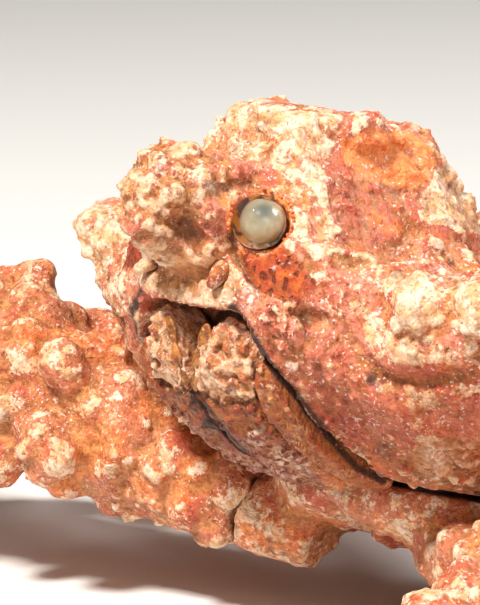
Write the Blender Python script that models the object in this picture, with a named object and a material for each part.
"""A life-size horrid elbow crab standing on its walking legs, with both claws resting on the floor.

Units are metres and +Z is up. The crab faces -Y and its left side is +X.
The body is modelled in a body frame of its own, in millimetres, with zero at the level of the eyes.
An empty then tilts the body nose-up and lifts it to its standing height.
The chest and the limbs are modelled in world millimetres, because they reach down to the floor.
"""

import math
import random

import bmesh
import bpy
import numpy as np
from mathutils import Matrix, Vector
from mathutils.bvhtree import BVHTree

MM = 0.001
GAP = 0.3  # millimetres left between neighbouring shell plates
SEED = 11
UP = Vector((0.0, 0.0, 1.0))
DOWN = Vector((0.0, 0.0, -1.0))

# Base colours of the parts
SHELL_COLOUR = (0.80, 0.42, 0.30)
LIMB_COLOUR = (0.72, 0.44, 0.34)
CLAW_TIP_COLOUR = (0.20, 0.11, 0.08)
MOUTH_COLOUR = (0.66, 0.36, 0.28)
EYE_COLOUR = (0.55, 0.55, 0.50)

# Stance of the body
BODY_PITCH = math.radians(14.0)
BODY_HEIGHT = 38.0
BODY_ORIGIN = Vector((0.9, 30.67, BODY_HEIGHT))
FLOOR = ((-150.0, -150.0, -20.0), (150.0, 150.0, 0.0))

# Carapace in the body frame: half of its outline in plan, from the snout to the tail
OUTLINE_CENTRE_Y = -2.0
OUTLINE = [
    (0.0, -36.5), (7.0, -36.0), (10.5, -33.6), (13.2, -29.8), (16.5, -27.6), (21.5, -27.2), (27.0, -24.5),
    (34.0, -18.5), (41.0, -9.5),
    (46.5, -1.0), (47.0, 4.0), (42.0, 11.5), (35.0, 19.0), (26.0, 26.0), (15.0, 30.5), (0.0, 31.5),
]
CARAPACE_SEGMENTS = 36
CARAPACE_RINGS = 18
RING_SPREAD = 0.86  # below one, the rings crowd towards the edge
DORSAL_LEVEL = 2.0
BRANCHIAL_FALL = 0.0016
UNDERSIDE_LEVEL = -23.0
RIM_LEVEL = -4.5
RIM_FRONT_DROP = 3.4
# How squarely the back and the underside meet the edge: zero is a right angle, one is a plain arc
BACK_ARC, BACK_ARC_LOST_IN_FRONT = 0.6, 0.42
BELLY_ARC, BELLY_ARC_LOST_IN_FRONT, BELLY_ARC_LOST_BEHIND = 1.0, 0.6, 0.85
BELLY_FLATNESS = 1.12
BELLY_CUT_Y = -13.2  # the belly is level behind this place, where the chest plate meets it
TAIL_NOTCH = ((-7.4, 27.0, -40.0), (7.4, 45.0, -11.5))

# Raised regions and hollows of the back: x, y, half-width, half-length, height, steepness
REGIONS = {
    "gastric": (0.0, -18.5, 13.0, 16.2, 9.4, 4),
    "epigastric": (0.0, -26.2, 4.6, 3.2, 1.7, 2),
    "protogastric": (4.6, -28.2, 5.4, 4.8, 4.0, 2),
    "mesogastric": (0.0, -13.5, 5.0, 5.0, 2.0, 2),
    "cardiac": (0.0, 13.0, 8.5, 8.5, 10.5, 3),
    "intestinal": (0.0, 25.5, 5.0, 3.5, 4.5, 2),
    "inner_branchial": (18.5, 10.0, 7.5, 7.5, 8.0, 3),
    "outer_branchial": (31.5, 5.0, 8.0, 6.5, 6.5, 3),
    "epibranchial": (36.0, -8.5, 5.5, 5.5, 5.0, 2),
    "hepatic": (25.0, -22.0, 6.0, 5.0, 4.0, 2),
    "supraorbital": (9.0, -31.5, 4.5, 3.5, 6.5, 2),
    "hepatic_hollow": (15.5, -20.5, 5.0, 9.0, -4.0, 2),
    "branchial_hollow": (17.0, -3.0, 8.0, 6.5, -8.0, 2),
    "posterior_hollow": (16.0, 23.0, 6.0, 4.0, -3.0, 2),
}

# Large warts of half the back: x, y, radius, height
BACK_WARTS = [
    (0.0, -27.0, 2.3, 1.2), (4.8, -22.5, 2.5, 1.4), (0.0, -18.0, 2.6, 0.8), (8.2, -18.0, 2.3, 1.3),
    (4.2, -12.5, 2.4, 1.2), (0.0, -8.6, 2.2, 1.5),
    (0.0, 9.0, 2.6, 2.6), (4.2, 14.0, 2.8, 3.0), (0.0, 19.0, 2.3, 2.2),
    (14.5, 8.5, 2.3, 2.4), (19.5, 12.0, 2.8, 3.0), (24.5, 7.0, 2.6, 2.8), (31.0, 7.0, 2.8, 3.0),
    (37.0, 3.0, 2.6, 2.6), (42.5, 1.5, 2.3, 2.4), (35.0, -8.5, 2.4, 2.4), (39.0, -7.0, 1.9, 1.8),
    (25.5, -20.5, 2.3, 2.0), (29.5, -19.0, 2.0, 2.0), (21.5, -25.0, 2.0, 1.8),
    (5.0, 25.5, 1.9, 1.8), (14.0, 26.5, 1.9, 2.0), (22.0, 20.5, 2.2, 2.4), (30.0, 15.0, 2.2, 2.4),
    (5.2, -38.5, 1.5, 1.3), (3.4, -41.6, 1.3, 1.1),
]
BACK_WART_COUNT = 47
BACK_WART_SPACING = 4.6
BACK_WART_REACH = 0.86  # small warts stay inside this share of the back's area
SMALL_WART_RADII = (1.2, 1.7)
SMALL_WART_HEIGHTS = (0.9, 1.5)

# Teeth of the edge: angle round the carapace in degrees, reach, radius
EDGE_TEETH = [
    (-46, 3.0, 3.8), (-36, 3.4, 3.9), (-27, 2.6, 3.4), (-18, 3.6, 3.7), (-9, 2.8, 3.2), (2, 6.5, 4.6),
    (14, 3.0, 3.2), (25, 4.6, 3.8), (37, 3.0, 3.2), (49, 4.2, 3.6), (62, 2.8, 2.8), (75, 3.4, 2.8),
]
TOOTH_SUNK = 1.6
TOOTH_LEVEL = 0.6

# A wart's foot and shoulder, as shares of its radius and of its height; how far its top may lean
WART_FOOT = (-0.5, 0.95)
WART_SHOULDER = (0.6, 0.72)
WART_LEAN = 0.18

# Snout: y, half-width, top, underside
ROSTRUM = [
    (-29.0, 8.0, 5.8, -5.0),
    (-34.5, 6.7, 6.3, -6.0),
    (-38.0, 5.4, 6.4, -6.1),
    (-40.8, 4.1, 5.8, -5.4),
    (-42.8, 2.8, 4.0, -4.5),
    (-43.9, 1.6, 1.4, -3.1),
]
FURROW_SHARE = 0.16

# Side profile of the face, from below the eyes to the chest: y, z
FACE_RIM = [
    (-35.0, -1.0), (-35.6, -5.0), (-35.2, -8.5), (-34.3, -10.5), (-32.6, -13.8), (-30.0, -17.0),
    (-26.5, -19.8), (-22.0, -21.8), (-17.0, -23.3), (-11.0, -24.2),
]
FACE_REAR = -5.0
FACE_BACK = [(FACE_REAR, -22.0), (FACE_REAR, -8.0), (-20.0, -1.0)]
# Across the face: x, how far the profile is set back
FACE_STATIONS = [(20.0, 12.0), (18.0, 9.0), (15.0, 5.5), (11.2, 2.0), (8.0, 0.8), (4.5, 0.0)]

# Hollows of the face, as centre of the left one and half-sizes: above the mouth, and for the small feelers
FACE_HOLLOWS = [((5.8, -35.0, -10.4), (3.6, 3.0, 1.6)), ((3.2, -40.6, -5.4), (2.1, 2.6, 1.7))]

# Outer surface of the mouth covers along the midline, from their upper edge backwards: y, z
MOUTH_PATH = [
    (-34.6, -10.8), (-34.1, -13.3), (-32.7, -16.9), (-30.4, -19.4), (-27.9, -21.1), (-24.9, -22.6),
    (-19.4, -24.6), (-13.0, -26.0),
]
MOUTH_HALF_WIDTH = 11.0
MOUTH_OPENING = -4.0
MOUTH_DEPTH = 5.9
COVER_DEPTH = 5.55
COVER_CROWN = 2.4
# The inward direction turns from level to upright along the path: degrees at its top, degrees added, curve
MOUTH_TILT = (8.0, 62.0, 0.7)
# Width of the mouth frame: share of the path, share of its widest
MOUTH_WIDTHS = [
    (-0.06, 0.66), (0.05, 0.8), (0.14, 0.93), (0.24, 1.0), (0.5, 1.0), (0.7, 1.0), (0.88, 1.0), (1.0, 1.0),
]
# Mouth covers: share along the mouth, inner edge, outer edge, how far the face is sunk
COVER_STATIONS = [
    (-0.02, 4.0, 5.6, 0.4), (0.03, 2.7, 6.8, 0.1), (0.1, 1.3, 7.6, 0.0), (0.2, 0.4, 7.7, 0.0),
    (0.36, 0.25, 7.7, 0.1), (0.39, 0.25, 7.7, 0.6), (0.42, 0.2, 7.7, 0.1), (0.55, 0.2, 7.7, 0.0),
    (0.72, 0.2, 7.6, 0.0), (0.86, 0.3, 7.2, 0.2), (0.95, 0.6, 6.4, 0.6),
]
BLADE_STATIONS = [
    (0.12, 8.15, 9.3, 0.5), (0.2, 8.05, 10.2, 0.1), (0.32, 8.05, 10.6, 0.0), (0.5, 8.05, 10.6, 0.0),
    (0.7, 8.0, 10.6, 0.0), (0.88, 7.6, 10.4, 0.2), (0.97, 7.0, 9.8, 0.6),
]
# Across a cover and a blade: share of the width, how far that line is sunk
COVER_SECTION = [(0.0, 0.2), (0.12, 0.0), (0.4, 0.0), (0.7, 0.0), (0.94, 0.0), (1.0, 0.5)]
BLADE_SECTION = [(0.0, 0.3), (0.5, 0.0), (1.0, 0.3)]

# Left eye; distances along its axis run outwards from its centre
EYE = Vector((8.0, -34.2, 0.0))
EYE_AXIS = Vector((0.74, -0.66, 0.12)).normalized()
EYE_RADIUS = 2.15
EYE_SEGMENTS = 12
CORNEA_RINGS = (-28, 0, 28, 56)  # degrees of latitude
STALK_RADII = (1.55, 1.6)
STALK_NECK = -1.6
ORBIT_RADIUS = 2.75
ORBIT_DEPTH = 3.2
ORBIT_SEGMENTS = 16
ORBIT_PROFILE = [(-ORBIT_DEPTH, 0.72), (-1.2, 0.97), (0.4, 1.0), (6.0, 1.25)]

# Left feeler: distance from its root, radius
ANTENNA_ROOT = Vector((5.0, -35.6, -5.4))
ANTENNA_AXIS = Vector((0.28, -0.62, -0.73)).normalized()
ANTENNA_DEPTH = 1.2
ANTENNA_SECTIONS = [(GAP - ANTENNA_DEPTH, 0.62), (0.5, 0.6), (1.0, 0.42), (1.7, 0.34), (2.2, 0.26)]
ANTENNA_RISE = 0.05
SOCKET_RADIUS = 0.96

# Chest: y, half-width, underside, half-width of the trough that holds the tail
CHEST = [
    (-12.4, 7.0, -26.8, 1.6), (-8.5, 12.5, -28.4, 2.0), (-2.0, 15.5, -29.3, 3.4), (8.0, 16.5, -28.6, 5.4),
    (17.0, 15.5, -27.4, 6.4), (24.0, 12.4, -26.2, 6.8), (27.0, 10.6, -25.2, 6.8),
]
CHEST_TOP = UNDERSIDE_LEVEL + 0.2 - GAP
CHEST_KEEL = 0.72  # where the underside turns up into the flank, as a share of the half-width
CHEST_FLANK = 0.45
TROUGH_DEPTH = 1.2
STUB_LENGTH = 9.0
STUB_RISE = 0.6
# Along a limb's stub: share of its length, share of the limb's width, share of its depth
STUB_SECTIONS = [(0.0, 0.8, 0.8), (0.55, 1.0, 0.95), (1.0, 1.0, 1.0)]

# Tail under the chest: y, half-width; then round the rear edge: distance behind it, z, half-width, slope
TAIL_PATH = [(-4.6, 0.8), (-2.0, 2.2), (3.0, 3.6), (8.0, 4.7), (13.0, 5.4), (18.0, 5.9), (24.0, 6.3)]
TAIL_BEND = [(GAP, -24.3, 6.4, -0.75), (GAP, -19.0, 6.2, -0.1), (GAP + 0.6, -11.8, 5.6, -0.1)]
TAIL_THICKNESS = 1.8
TAIL_KEEL = 0.5

# Limbs: joints from the body outwards, as side, forward of the eyes and height above the floor
ARMS = {
    "left": [(17.0, -20.2, 11.2), (61.0, -7.0, 15.5), (75.5, 8.5, 17.0), (78.5, 51.0, 13.5), (67.0, 79.0, 3.0)],
    "right": [
        (-17.0, -20.2, 11.4), (-62.0, -5.0, 28.5), (-76.0, 10.0, 28.0), (-79.0, 55.0, 15.5), (-66.0, 86.0, 3.4),
    ],
}
ARM_SCALES = {"left": 0.86, "right": 1.0}
LEGS = {
    1: [(18.5, -28.5, 12.2), (46.0, -30.0, 21.0), (60.0, -26.0, 19.5), (74.0, -22.0, 9.5), (81.5, -19.0, 0)],
    2: [(19.0, -35.0, 10.8), (47.5, -39.5, 19.5), (62.0, -41.0, 18.0), (75.5, -41.0, 9.0), (83.5, -41.0, 0)],
    3: [(18.0, -42.4, 9.4), (44.0, -52.5, 18.0), (57.0, -57.5, 16.5), (69.0, -61.5, 8.2), (76.5, -64.5, 0)],
    4: [(14.5, -49.4, 8.4), (35.0, -66.0, 16.0), (44.5, -75.0, 14.5), (52.5, -83.0, 7.6), (58.0, -88.5, 0)],
}
LAST_LEG = 4
LAST_LEG_SCALE = (0.9, 0.88)
LAST_LEG_ROOT_SCALE = 0.9
LEG_SIDES = 8
# Along a leg joint: share of its length, half-thickness, half-depth
LEG_SECTIONS = {
    "merus": [(0.0, 2.8, 3.0), (0.25, 3.1, 3.5), (0.55, 3.3, 4.0), (0.85, 3.4, 4.5), (1.0, 2.8, 3.5)],
    "carpus": [(0.0, 2.8, 3.5), (0.35, 3.5, 4.6), (0.75, 3.4, 4.5), (1.0, 2.6, 3.3)],
    "propodus": [(0.0, 2.6, 3.3), (0.35, 3.2, 4.4), (0.7, 3.0, 4.0), (1.0, 2.1, 2.6)],
    "dactylus": [(0.0, 2.1, 2.6), (0.25, 2.2, 2.7), (0.55, 1.6, 2.0), (0.82, 0.95, 1.1), (1.0, 0.6, 0.6)],
}
FOOT_BOW = 1.6
# Rows of teeth on a joint: angle round it in degrees, count, scale; the part of the joint that carries them
LEG_ROWS = {
    "merus": ([(90, 3, 1.0)], (0.55, 0.9)),
    "carpus": ([(90, 2, 1.1)], (0.2, 0.82)),
    "propodus": ([(90, 2, 1.1), (-90, 1, 0.8)], (0.2, 0.82)),
}
LEG_TOOTH_SIZE = 1.5
LEG_TOOTH_SIDES = 4

# Along an arm joint of the larger claw: share, half-thickness, half-depth
ARM_SECTIONS = {
    "merus": [
        (0.0, 5.2, 5.2), (0.1, 6.0, 6.2), (0.35, 7.6, 7.9), (0.62, 8.3, 8.8), (0.88, 8.2, 8.8), (1.0, 6.4, 6.8),
    ],
    "carpus": [(0.0, 6.4, 6.8), (0.25, 8.6, 9.2), (0.6, 9.2, 10.0), (0.85, 8.4, 9.4), (1.0, 6.6, 7.2)],
}
ARM_ROWS = {
    "merus": (
        [(90, 3, 1.15), (45, 2, 0.9), (0, 3, 1.1), (-55, 2, 0.9), (-125, 2, 0.9), (180, 3, 1.1), (135, 2, 0.9)],
        (0.34, 0.92),
    ),
    "carpus": (
        [(90, 2, 1.2), (40, 1, 1.0), (0, 2, 1.1), (-90, 1, 0.8), (180, 2, 1.1), (130, 2, 0.9)],
        (0.14, 0.84),
    ),
}
ARM_SIDES = 12
ARM_TOOTH_SIZE = 2.8
# Palm: share, half-thickness, top above the axis, bottom below the axis
PALM = [
    (0.0, 6.6, 7.2, 7.2), (0.1, 8.2, 10.0, 9.4), (0.35, 9.2, 13.0, 12.0), (0.65, 9.4, 15.0, 13.2),
    (0.88, 8.6, 15.2, 13.2), (1.0, 7.6, 13.6, 12.6),
]
PALM_ROWS = (
    [(90, 4, 1.3), (50, 3, 1.0), (5, 3, 0.9), (-40, 3, 0.9), (170, 3, 0.9), (125, 3, 1.0)],
    (0.12, 0.9),
)
PALM_TOOTH_SIZE = 2.7
# Fixed and movable finger: distance past the palm, half-thickness, top and bottom above the floor
FIXED_FINGER = [
    (-6.0, 6.4, 9.5, 1.5), (3.0, 5.8, 8.0, 0.6), (11.0, 4.6, 7.0, 0.3), (19.0, 3.4, 7.2, 0.6),
    (26.0, 2.2, 7.6, 1.8), (31.0, 1.0, 8.0, 4.6),
]
MOVABLE_FINGER = [
    (0.0, 5.6, 25.5, 13.5), (4.0, 5.8, 26.5, 13.0), (11.0, 5.0, 25.5, 12.6), (19.0, 3.8, 21.6, 11.4),
    (26.0, 2.6, 16.6, 9.6), (31.0, 1.1, 11.6, 8.6),
]
# The hand is cut square to the fingers above the fixed one: half-width, lower and upper edge, length
FINGER_SEAT = (16.0, 10.5, 45.0, 24.0)


# Shared helpers

def material(name, colour, roughness):
    """A Principled material with one colour."""
    made = bpy.data.materials.new(name)
    made.use_nodes = True
    shader = made.node_tree.nodes["Principled BSDF"]
    shader.inputs["Base Color"].default_value = (*colour, 1.0)
    shader.inputs["Roughness"].default_value = roughness
    shader.inputs["Metallic"].default_value = 0.0
    return made


def make_object(name, bm):
    """Turns a bmesh in millimetres into an object in metres with its faces pointing out."""
    bmesh.ops.recalc_face_normals(bm, faces=bm.faces)
    bmesh.ops.scale(bm, vec=(MM, MM, MM), verts=bm.verts)
    mesh = bpy.data.meshes.new(name)
    bm.to_mesh(mesh)
    bm.free()
    made = bpy.data.objects.new(name, mesh)
    bpy.context.scene.collection.objects.link(made)
    return made


def finish(target, paint, frame=None):
    """Gives an object its material and its parent."""
    target.data.materials.clear()
    target.data.materials.append(paint)
    if frame is not None:
        target.parent = frame
    return target


def sided(values, side):
    """A place or direction of the crab's left half, mirrored when side is minus one."""
    x, y, z = values
    return Vector((x * side, y, z))


def frame_from(normal, up=UP):
    """Two unit vectors square to a normal, the second as near to up as it can be."""
    across = up.cross(normal)
    if across.length < 1e-4:
        across = Vector((1.0, 0.0, 0.0)).cross(normal)
    across.normalize()
    return across, normal.cross(across).normalized()


def oval(centre, across, along, width, depth, sides, turn=0.0):
    """A ring of points round a centre."""
    angles = [turn + k * math.tau / sides for k in range(sides)]
    return [centre + across * math.cos(angle) * width + along * math.sin(angle) * depth for angle in angles]


def loft(rings):
    """A closed bmesh through rings of points; a ring of one point is a pointed end."""
    bm = bmesh.new()
    loops = [[bm.verts.new(point) for point in ring] for ring in rings]
    for lower, upper in zip(loops, loops[1:]):
        count = max(len(lower), len(upper))
        for k in range(count):
            corners = [lower[k % len(lower)], lower[(k + 1) % len(lower)]]
            corners += [upper[(k + 1) % len(upper)], upper[k % len(upper)]]
            bm.faces.new(list(dict.fromkeys(corners)))
    for ring in (loops[0], loops[-1]):
        if len(ring) > 2:
            bm.faces.new(ring)
    bmesh.ops.triangulate(bm, faces=bm.faces)
    return bm


def boolean(target, tools, operation):
    """Applies one Boolean of a collection of closed meshes to the target and removes the tools."""
    group = bpy.data.collections.new(target.name + "_" + operation.lower())
    bpy.context.scene.collection.children.link(group)
    for tool in tools:
        bpy.context.scene.collection.objects.unlink(tool)
        group.objects.link(tool)
    step = target.modifiers.new(operation.lower(), "BOOLEAN")
    step.operation = operation
    step.operand_type = "COLLECTION"
    step.collection = group
    step.solver = "EXACT"
    graph = bpy.context.evaluated_depsgraph_get()
    result = bpy.data.meshes.new_from_object(target.evaluated_get(graph))
    target.modifiers.clear()
    target.data = result
    for tool in tools:
        bpy.data.objects.remove(tool)
    bpy.data.collections.remove(group)
    keep_largest(target)


def keep_largest(target):
    """Leaves only the largest closed surface of an object."""
    bm = bmesh.new()
    bm.from_mesh(target.data)
    bmesh.ops.remove_doubles(bm, verts=bm.verts, dist=1e-7)
    unseen = set(bm.faces)
    islands = []
    while unseen:
        front = [unseen.pop()]
        island = list(front)
        while front:
            face = front.pop()
            for edge in face.edges:
                for other in edge.link_faces:
                    if other in unseen:
                        unseen.remove(other)
                        front.append(other)
                        island.append(other)
        islands.append(island)
    islands.sort(key=lambda faces: sum(face.calc_area() for face in faces))
    loose = [face for island in islands[:-1] for face in island]
    bmesh.ops.delete(bm, geom=loose, context="FACES")
    bm.to_mesh(target.data)
    bm.free()


def ellipsoid(centre, radii, segments=12, rings=8):
    """A squashed sphere used as a cutter."""
    bm = bmesh.new()
    bmesh.ops.create_uvsphere(bm, u_segments=segments, v_segments=rings, radius=1.0)
    bmesh.ops.scale(bm, vec=radii, verts=bm.verts)
    bmesh.ops.translate(bm, vec=centre, verts=bm.verts)
    return make_object("ellipsoid", bm)


def box(low, high):
    """A box between two corners, used as a cutter."""
    bm = bmesh.new()
    bmesh.ops.create_cube(bm, size=1.0)
    bmesh.ops.scale(bm, vec=[b - a for a, b in zip(low, high)], verts=bm.verts)
    bmesh.ops.translate(bm, vec=[(a + b) / 2 for a, b in zip(low, high)], verts=bm.verts)
    return make_object("box", bm)


def surface_of(target):
    """A search tree of an object's surface, in millimetres of its own frame."""
    points = [vertex.co / MM for vertex in target.data.vertices]
    return BVHTree.FromPolygons(points, [polygon.vertices for polygon in target.data.polygons])


def tubercle(point, normal, radius, height, chance, sides=5):
    """A blunt wart of the shell: its foot is sunk into the surface and its top is a small dome."""
    across, along = frame_from(normal)
    lean = across * chance.uniform(-WART_LEAN, WART_LEAN) + along * chance.uniform(-WART_LEAN, WART_LEAN)
    turn = chance.uniform(0.0, math.tau)
    foot, foot_width = WART_FOOT
    shoulder, shoulder_width = WART_SHOULDER
    rings = []
    for level, width in ((foot * radius, foot_width * radius), (shoulder * height, shoulder_width * radius)):
        centre = point + normal * level + lean * max(level, 0.0)
        rings.append(oval(centre, across, along, width, width, sides, turn))
    rings.append([point + (normal + lean) * height])
    return make_object("tubercle", loft(rings))


# Carapace

def rim_radius(angle):
    """Distance from the middle of the carapace to its edge, for an angle round it."""
    folded = math.atan2(math.sin(angle), abs(math.cos(angle)))
    angles = [math.atan2(y - OUTLINE_CENTRE_Y, x) for x, y in OUTLINE]
    radii = [math.hypot(x, y - OUTLINE_CENTRE_Y) for x, y in OUTLINE]
    return float(np.interp(folded, angles, radii))


def rim_level(angle):
    """Height of the carapace's edge, lower towards the front."""
    return RIM_LEVEL - RIM_FRONT_DROP * max(0.0, -math.sin(angle))


def back_height(x, y):
    """Height of the back above eye level at a place in plan."""
    height = DORSAL_LEVEL - BRANCHIAL_FALL * x * x
    for cx, cy, half_width, half_length, rise, steepness in REGIONS.values():
        away = math.hypot((abs(x) - cx) / half_width, (y - cy) / half_length)
        height += rise * math.exp(-away**steepness)
    return height


def carapace_shell():
    """A sphere whose points are moved onto the carapace's outline, back and underside."""
    bm = bmesh.new()
    bmesh.ops.create_uvsphere(bm, u_segments=CARAPACE_SEGMENTS, v_segments=CARAPACE_RINGS, radius=1.0)
    for vertex in bm.verts:
        latitude = math.asin(max(-1.0, min(1.0, vertex.co.z)))
        angle = math.atan2(vertex.co.y, vertex.co.x)
        inward = abs(latitude) / (math.pi / 2)
        share = math.cos(inward ** RING_SPREAD * math.pi / 2)
        reach = share * rim_radius(angle)
        x = reach * math.cos(angle)
        y = OUTLINE_CENTRE_Y + reach * math.sin(angle)
        in_front = max(0.0, -math.sin(angle))
        behind = max(0.0, math.sin(angle)) ** 2
        lift = 1.0 - share * share
        rim = rim_level(angle)
        if vertex.co.z >= 0.0:
            arc = BACK_ARC - BACK_ARC_LOST_IN_FRONT * in_front ** 3
            z = rim + (back_height(x, y) - rim) * lift ** arc
        else:
            arc = BELLY_ARC - BELLY_ARC_LOST_IN_FRONT * in_front - BELLY_ARC_LOST_BEHIND * behind
            z = rim + (UNDERSIDE_LEVEL - rim) * min(1.0, BELLY_FLATNESS * lift ** arc)
        vertex.co = (x, y, z)
    return make_object("carapace", bm)


def rostrum_block():
    """The blunt snout between the eyes, with a shallow furrow along its top."""
    rings = []
    for y, half_width, top, under in ROSTRUM:
        furrow = FURROW_SHARE * half_width
        shoulder = 0.55 * top + 0.45 * under
        rings.append([
            Vector((0.0, y, top - furrow)), Vector((0.55 * half_width, y, top)),
            Vector((half_width, y, shoulder)), Vector((0.82 * half_width, y, under + 1.0)),
            Vector((0.0, y, under)), Vector((-0.82 * half_width, y, under + 1.0)),
            Vector((-half_width, y, shoulder)), Vector((-0.55 * half_width, y, top)),
        ])
    return make_object("rostrum_block", loft(rings))


def face_block():
    """The front wall below the eyes, down to the chest."""
    stations = [(-x, back) for x, back in FACE_STATIONS] + [(x, back) for x, back in reversed(FACE_STATIONS)]
    rings = []
    for x, back in stations:
        outer = []
        for y, z in FACE_RIM:
            set_back = min(y + back * (1.0 + z / 60.0), FACE_REAR - 1.5)
            outer.append(Vector((x, set_back, z + back * 0.45 * min(1.0, z / -18.0))))
        rings.append(outer + [Vector((x, y, z)) for y, z in FACE_BACK])
    return make_object("face_block", loft(rings))


def along_path(path, share):
    """A place at a share of a path's length; shares beyond its ends run straight on."""
    lengths = [0.0]
    for (y0, z0), (y1, z1) in zip(path, path[1:]):
        lengths.append(lengths[-1] + math.hypot(y1 - y0, z1 - z0))
    along = share * lengths[-1]
    step = next((k for k in range(1, len(lengths) - 1) if along < lengths[k]), len(lengths) - 1)
    part = (along - lengths[step - 1]) / (lengths[step] - lengths[step - 1])
    return [a + (b - a) * part for a, b in zip(path[step - 1], path[step])]


def mouth_point(x, share, depth):
    """A point on or under the mouth covers: share runs along the midline path, depth goes inwards."""
    y, z = along_path(MOUTH_PATH, share)
    at_top, added, curve = MOUTH_TILT
    tilt = math.radians(at_top + added * max(0.0, min(1.0, share)) ** curve)
    return Vector((x, y, z)) + Vector((0.0, math.cos(tilt), math.sin(tilt))) * depth


def mouth_cutter():
    """The cavity that the mouth covers close."""
    rings = []
    for share, width in MOUTH_WIDTHS:
        half = MOUTH_HALF_WIDTH * width
        rings.append([
            mouth_point(-half, share, MOUTH_OPENING), mouth_point(half, share, MOUTH_OPENING),
            mouth_point(half, share, MOUTH_DEPTH), mouth_point(-half, share, MOUTH_DEPTH),
        ])
    return make_object("mouth_cutter", loft(rings))


def orbit_cutter(side):
    """The round socket of an eye."""
    axis, centre = sided(EYE_AXIS, side), sided(EYE, side)
    across, along = frame_from(axis)
    rings = []
    for depth, width in ORBIT_PROFILE:
        radius = ORBIT_RADIUS * width
        rings.append(oval(centre + axis * depth, across, along, radius, radius, ORBIT_SEGMENTS))
    return make_object("orbit_cutter", loft(rings))


def antenna_cutter(side):
    """The small socket that a feeler stands in."""
    root, axis = sided(ANTENNA_ROOT, side), sided(ANTENNA_AXIS, side)
    across, along = frame_from(axis)
    rings = [oval(root + axis * reach, across, along, SOCKET_RADIUS, SOCKET_RADIUS, 8)
             for reach in (-ANTENNA_DEPTH, 5.0)]
    return make_object("antenna_socket", loft(rings))


def edge_teeth(chance):
    """Teeth round the edge of the carapace, largest at its side corners."""
    made = []
    for side in (1, -1):
        for degrees, reach, radius in EDGE_TEETH:
            angle = math.radians(degrees)
            out = Vector((math.cos(angle) * side, math.sin(angle), 0.05))
            foot = Vector((0.0, OUTLINE_CENTRE_Y, rim_level(angle) + TOOTH_LEVEL))
            foot += out * (rim_radius(angle) - TOOTH_SUNK)
            height = (reach + 1.8) * chance.uniform(0.9, 1.1)
            made.append(tubercle(foot, out.normalized(), radius, height, chance, sides=6))
    return made


def back_warts(surface, chance):
    """Warts of the back: the large ones first, then smaller ones spread evenly between them."""
    spots = []
    for x, y, radius, height in BACK_WARTS:
        for side in ((1, -1) if x else (1,)):
            shift = chance.uniform(-0.5, 0.5)
            spots.append((x * side + shift, y + shift, radius * chance.uniform(0.9, 1.1), height))
    tries = 0
    while len(spots) < BACK_WART_COUNT and tries < 4000:
        tries += 1
        angle = chance.uniform(0.0, math.tau)
        reach = math.sqrt(chance.uniform(0.0, BACK_WART_REACH)) * rim_radius(angle)
        x = reach * math.cos(angle)
        y = OUTLINE_CENTRE_Y + reach * math.sin(angle)
        if all(math.hypot(x - spot[0], y - spot[1]) > BACK_WART_SPACING for spot in spots):
            spots.append((x, y, chance.uniform(*SMALL_WART_RADII), chance.uniform(*SMALL_WART_HEIGHTS)))
    made = []
    for x, y, radius, height in spots:
        point, normal, _, _ = surface.ray_cast(Vector((x, y, 60.0)), DOWN)
        if point is not None:
            outward = (normal + Vector((0.0, 0.0, 0.6))).normalized()
            made.append(tubercle(point, outward, radius, height, chance))
    return made


def make_carapace(frame, paint):
    """The whole upper shell with its snout, eye sockets, mouth cavity and warts."""
    chance = random.Random(SEED)
    shell = carapace_shell()
    boolean(shell, [rostrum_block(), face_block()], "UNION")
    warts = back_warts(surface_of(shell), chance)
    boolean(shell, edge_teeth(chance) + warts, "UNION")
    cutters = [orbit_cutter(side) for side in (1, -1)] + [mouth_cutter()]
    cutters += [antenna_cutter(side) for side in (1, -1)]
    for centre, radii in FACE_HOLLOWS:
        cutters += [ellipsoid(sided(centre, side), radii) for side in (1, -1)]
    cutters.append(box((-60.0, BELLY_CUT_Y, -40.0), (60.0, 40.0, CHEST_TOP + GAP)))
    cutters.append(box(*TAIL_NOTCH))
    boolean(shell, cutters, "DIFFERENCE")
    return finish(shell, paint, frame)


# Eyes, feelers and mouthparts

def make_eye(name, side, frame, paint):
    """A cornea on a short stalk that reaches the back of its socket."""
    axis, centre = sided(EYE_AXIS, side), sided(EYE, side)
    across, along = frame_from(axis)
    profile = list(zip((GAP - ORBIT_DEPTH, STALK_NECK), STALK_RADII))
    for degrees in CORNEA_RINGS:
        angle = math.radians(degrees)
        profile.append((EYE_RADIUS * math.sin(angle), EYE_RADIUS * math.cos(angle)))
    rings = [oval(centre + axis * depth, across, along, radius, radius, EYE_SEGMENTS)
             for depth, radius in profile]
    rings.append([centre + axis * EYE_RADIUS])
    return finish(make_object(name, loft(rings)), paint, frame)


def make_antenna(name, side, frame, paint):
    """A short feeler in a small socket below the eye's inner corner."""
    root, axis = sided(ANTENNA_ROOT, side), sided(ANTENNA_AXIS, side)
    across, along = frame_from(axis)
    rings = []
    for reach, radius in ANTENNA_SECTIONS:
        centre = root + axis * reach + UP * ANTENNA_RISE * reach * reach
        rings.append(oval(centre, across, along, radius, radius, 6))
    return finish(make_object(name, loft(rings)), paint, frame)


def mouth_plate(name, side, stations, section):
    """A plate that follows the mouth: its outer face is crowned and its inner face is flat."""
    rings = []
    for share, inner, outer, sunk in stations:
        ring = []
        for part, edge in section:
            x = inner + (outer - inner) * part
            crown = COVER_CROWN * (x / MOUTH_HALF_WIDTH) ** 2
            ring.append(mouth_point(x * side, share, crown + sunk + edge))
        ring.append(mouth_point(outer * side, share, COVER_DEPTH))
        ring.append(mouth_point(inner * side, share, COVER_DEPTH))
        rings.append(ring)
    return make_object(name, loft(rings))


# Chest and tail

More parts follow.
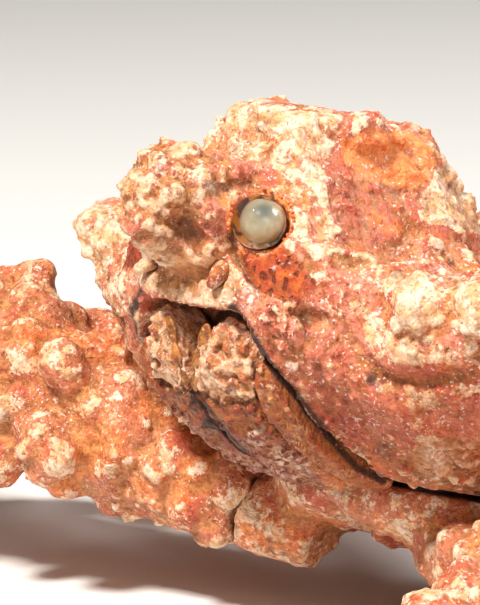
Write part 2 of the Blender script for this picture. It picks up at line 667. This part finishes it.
def tilt(point):
    """A point of the body frame in world millimetres."""
    return Matrix.Rotation(-BODY_PITCH, 3, "X") @ Vector(point) + BODY_ORIGIN


def stance(side, forward, height):
    """A point given by side, distance forward of the eyes and height above the floor."""
    return Vector((BODY_ORIGIN.x + side, tilt(EYE).y - forward, height))


def make_thorax(paint, limbs):
    """The chest plate with a stub for each limb, in world position."""
    rings = []
    for y, half_width, bottom, trough in CHEST:
        low = bottom + TROUGH_DEPTH
        flank = bottom + CHEST_FLANK * (CHEST_TOP - bottom)
        keel = half_width * CHEST_KEEL
        half = [(half_width, CHEST_TOP), (half_width, flank), (keel, bottom), (trough, bottom), (trough, low)]
        ring = [(-half_width, CHEST_TOP)] + half + [(-x, z) for x, z in reversed(half[1:])]
        rings.append([tilt((x, y, z)) for x, z in ring])
    plate = make_object("thorax", loft(rings))
    stubs = []
    for joints, width, depth in limbs:
        outward = (joints[1] - joints[0]).normalized()
        inner = joints[0] - outward * STUB_LENGTH + UP * STUB_RISE
        sections = [(share, width * wide, depth * deep) for share, wide, deep in STUB_SECTIONS]
        stubs.append(segment("stub", inner, joints[0], None, outward, sections, 7))
    boolean(plate, stubs, "UNION")
    return finish(plate, paint)


def make_abdomen(frame, paint):
    """The narrow tail, folded forward in the trough of the chest."""
    rings = []
    for y, half in TAIL_PATH:
        upper = float(np.interp(y, [c[0] for c in CHEST], [c[2] for c in CHEST])) + TROUGH_DEPTH - GAP
        lower = upper - TAIL_THICKNESS
        ring = [(-half, upper), (half, upper), (half, lower + TAIL_KEEL), (0.0, lower), (-half, lower + TAIL_KEEL)]
        rings.append([Vector((x, y, z)) for x, z in ring])
    for behind, z, half, slope in TAIL_BEND:
        y = CHEST[-1][0] + behind
        out = Vector((0.0, 1.0, slope)).normalized() * TAIL_THICKNESS
        left, middle, right = (Vector((x, y, z)) for x in (-half, 0.0, half))
        rings.append([left, right, right + out * 0.75, middle + out, left + out * 0.75])
    return finish(make_object("abdomen", loft(rings)), paint, frame)


# Limbs

def segment(name, start, end, start_plane, end_plane, sections, sides):
    """One limb joint: rings square to its axis, its end rings slid onto the planes of the joints."""
    axis = (end - start).normalized()
    across, up = frame_from(axis)
    rings = [oval(start.lerp(end, share), across, up, width, depth, sides)
             for share, width, depth in sections]
    if start_plane is not None:
        rings[0] = slide(rings[0], axis, start, start_plane, GAP / 2)
    rings[-1] = slide(rings[-1], axis, end, end_plane, -GAP / 2)
    return make_object(name, loft(rings))


def slide(ring, axis, joint, normal, shift):
    """Moves ring points along an axis onto a plane set off from a joint."""
    return [point + axis * ((shift - (point - joint).dot(normal)) / axis.dot(normal)) for point in ring]


def bend_plane(joints, k):
    """The plane that halves the bend at a joint, as a normal pointing outwards."""
    before = (joints[k] - joints[k - 1]).normalized()
    after = (joints[k + 1] - joints[k]).normalized()
    return (before + after).normalized()


def limb_teeth(surface, start, end, rows, size, chance, sides=5):
    """Jagged teeth in rows along the part of a limb joint that carries them."""
    axis = (end - start).normalized()
    across, up = frame_from(axis)
    lines, (low, high) = rows
    made = []
    for degrees, count, scale in lines:
        for k in range(count):
            share = low + (high - low) * (k + 0.5 + chance.uniform(-0.2, 0.2)) / count
            angle = math.radians(degrees + chance.uniform(-12.0, 12.0))
            out = across * math.cos(angle) + up * math.sin(angle)
            point, normal, _, _ = surface.ray_cast(start.lerp(end, share), out)
            if point is None:
                continue
            grown = size * scale * chance.uniform(0.7, 1.3)
            made.append(tubercle(point, (normal + out).normalized(), grown, grown * 1.2, chance, sides))
    return made


def foot(name, start, end, plane, sections):
    """The last joint of a leg: it curves down to a small flat on the floor."""
    axis = (end - start).normalized()
    rings = []
    for share, width, depth in sections:
        centre = start.lerp(end, share) + UP * math.sin(share * math.pi) * FOOT_BOW
        standing = share == 1.0
        heading = DOWN if standing else (axis * (1.0 - share) + DOWN * share).normalized()
        across, up = frame_from(heading, axis if standing else UP)
        rings.append(oval(centre, across, up, width, depth, LEG_SIDES))
    rings[0] = slide(rings[0], axis, start, plane, GAP / 2)
    return make_object(name, loft(rings))


def make_leg(number, side, label, paint, chance):
    """The four joints of a walking leg, from the thigh to the clawed foot."""
    joints = [stance(x * side, forward, height) for x, forward, height in LEGS[number]]
    thin, shallow = LAST_LEG_SCALE if number == LAST_LEG else (1.0, 1.0)
    for k, (joint_name, plain) in enumerate(LEG_SECTIONS.items()):
        start, end = joints[k], joints[k + 1]
        first = (end - start).normalized() if k == 0 else bend_plane(joints, k)
        sections = [(share, width * thin, depth * shallow) for share, width, depth in plain]
        name = f"leg_{label}_{number}_{joint_name}"
        if joint_name == "dactylus":
            made = foot(name, start, end, first, sections)
        else:
            made = segment(name, start, end, first, bend_plane(joints, k + 1), sections, LEG_SIDES)
            teeth = limb_teeth(surface_of(made), start, end, LEG_ROWS[joint_name], LEG_TOOTH_SIZE, chance,
                               LEG_TOOTH_SIDES)
            boolean(made, teeth, "UNION")
        finish(made, paint)


def make_arm(joints, label, paint, tip_paint, chance):
    """The upper joints of a claw arm, its hand and its movable finger."""
    scale = ARM_SCALES[label]
    for k, (joint_name, plain) in enumerate(ARM_SECTIONS.items()):
        start, end = joints[k], joints[k + 1]
        first = (end - start).normalized() if k == 0 else bend_plane(joints, k)
        sections = [(share, width * scale, depth * scale) for share, width, depth in plain]
        last = bend_plane(joints, k + 1)
        made = segment(f"claw_{label}_{joint_name}", start, end, first, last, sections, ARM_SIDES)
        teeth = limb_teeth(surface_of(made), start, end, ARM_ROWS[joint_name], ARM_TOOTH_SIZE * scale, chance)
        boolean(made, teeth, "UNION")
        finish(made, paint)
    make_palm(joints, label, scale, paint, chance)
    finger = finger_loft(f"claw_{label}_dactylus", joints, scale, MOVABLE_FINGER, 10)
    finish(finger, tip_paint)


def make_palm(joints, label, scale, paint, chance):
    """The hand with its fixed finger, cut level where it rests on the floor."""
    start, end = joints[2], joints[3]
    axis = (end - start).normalized()
    across, up = frame_from(axis)
    rings = []
    for share, width, top, bottom in PALM:
        centre = start.lerp(end, share)
        ring = []
        for k in range(ARM_SIDES):
            angle = k * math.tau / ARM_SIDES
            rise = math.sin(angle)
            ring.append(centre + across * math.cos(angle) * width * scale
                        + up * rise * (top if rise > 0 else bottom) * scale)
        rings.append(ring)
    rings[0] = slide(rings[0], axis, start, bend_plane(joints, 2), GAP / 2)
    palm = make_object(f"claw_{label}_palm", loft(rings))
    finger = finger_loft("finger", joints, scale, FIXED_FINGER, 8)
    teeth = limb_teeth(surface_of(palm), start, end, PALM_ROWS, PALM_TOOTH_SIZE * scale, chance)
    boolean(palm, [finger] + teeth, "UNION")
    boolean(palm, [finger_seat(joints, scale), box(*FLOOR)], "DIFFERENCE")
    return finish(palm, paint)


def finger_heading(joints):
    """Level heading of the fingers and the direction square to it."""
    heading = joints[4] - joints[3]
    heading.z = 0.0
    heading.normalize()
    return heading, Vector((heading.y, -heading.x, 0.0))


def finger_loft(name, joints, scale, stations, sides):
    """A finger beyond the hand, given by its top and bottom above the floor."""
    heading, sideways = finger_heading(joints)
    rings = []
    for reach, width, top, bottom in stations:
        centre = Vector((joints[3].x, joints[3].y, (top + bottom) / 2 * scale)) + heading * reach * scale
        rings.append(oval(centre, sideways, UP, width * scale, (top - bottom) / 2 * scale, sides))
    return make_object(name, loft(rings))


def finger_seat(joints, scale):
    """Cuts the front of the hand square to the fingers above the fixed one, so the movable one meets it."""
    heading, sideways = finger_heading(joints)
    half, low, high, length = FINGER_SEAT
    start = Vector((joints[3].x, joints[3].y, 0.0)) + heading * -GAP
    rings = []
    for reach in (0.0, length):
        corners = ((-half, low), (half, low), (half, high), (-half, high))
        rings.append([start + (heading * reach + sideways * a + UP * b) * scale for a, b in corners])
    return make_object("finger_seat", loft(rings))


def limb_roots(arms):
    """Joints and root sizes of every limb, for the stubs of the chest."""
    width, depth = ARM_SECTIONS["merus"][0][1:]
    roots = [(arms[label], width * scale, depth * scale) for label, scale in ARM_SCALES.items()]
    width, depth = LEG_SECTIONS["merus"][0][1:]
    for number, joints in LEGS.items():
        size = LAST_LEG_ROOT_SCALE if number == LAST_LEG else 1.0
        for side in (1, -1):
            placed = [stance(x * side, forward, height) for x, forward, height in joints]
            roots.append((placed, width * size, depth * size))
    return roots


def main():
    """Builds the crab from an empty scene."""
    for old in list(bpy.data.objects):
        bpy.data.objects.remove(old)
    shell = material("shell", SHELL_COLOUR, 0.55)
    limb = material("limbs", LIMB_COLOUR, 0.6)
    claw_tip = material("claw_tips", CLAW_TIP_COLOUR, 0.4)
    mouth = material("mouthparts", MOUTH_COLOUR, 0.6)
    eye = material("eye", EYE_COLOUR, 0.15)
    frame = bpy.data.objects.new("body_frame", None)
    bpy.context.scene.collection.objects.link(frame)
    frame.location = BODY_ORIGIN * MM
    frame.rotation_euler = (-BODY_PITCH, 0.0, 0.0)
    make_carapace(frame, shell)
    arms = {label: [stance(*joint) for joint in joints] for label, joints in ARMS.items()}
    make_thorax(limb, limb_roots(arms))
    make_abdomen(frame, mouth)
    chance = random.Random(SEED + 1)
    for label, side in (("left", 1), ("right", -1)):
        make_eye(f"eye_{label}", side, frame, eye)
        make_antenna(f"antenna_{label}", side, frame, mouth)
        finish(mouth_plate(f"maxilliped_{label}", side, COVER_STATIONS, COVER_SECTION), mouth, frame)
        finish(mouth_plate(f"exopod_{label}", side, BLADE_STATIONS, BLADE_SECTION), mouth, frame)
        make_arm(arms[label], label, limb, claw_tip, chance)
        for number in LEGS:
            make_leg(number, side, label, limb, chance)


if __name__ == "__main__":
    main()
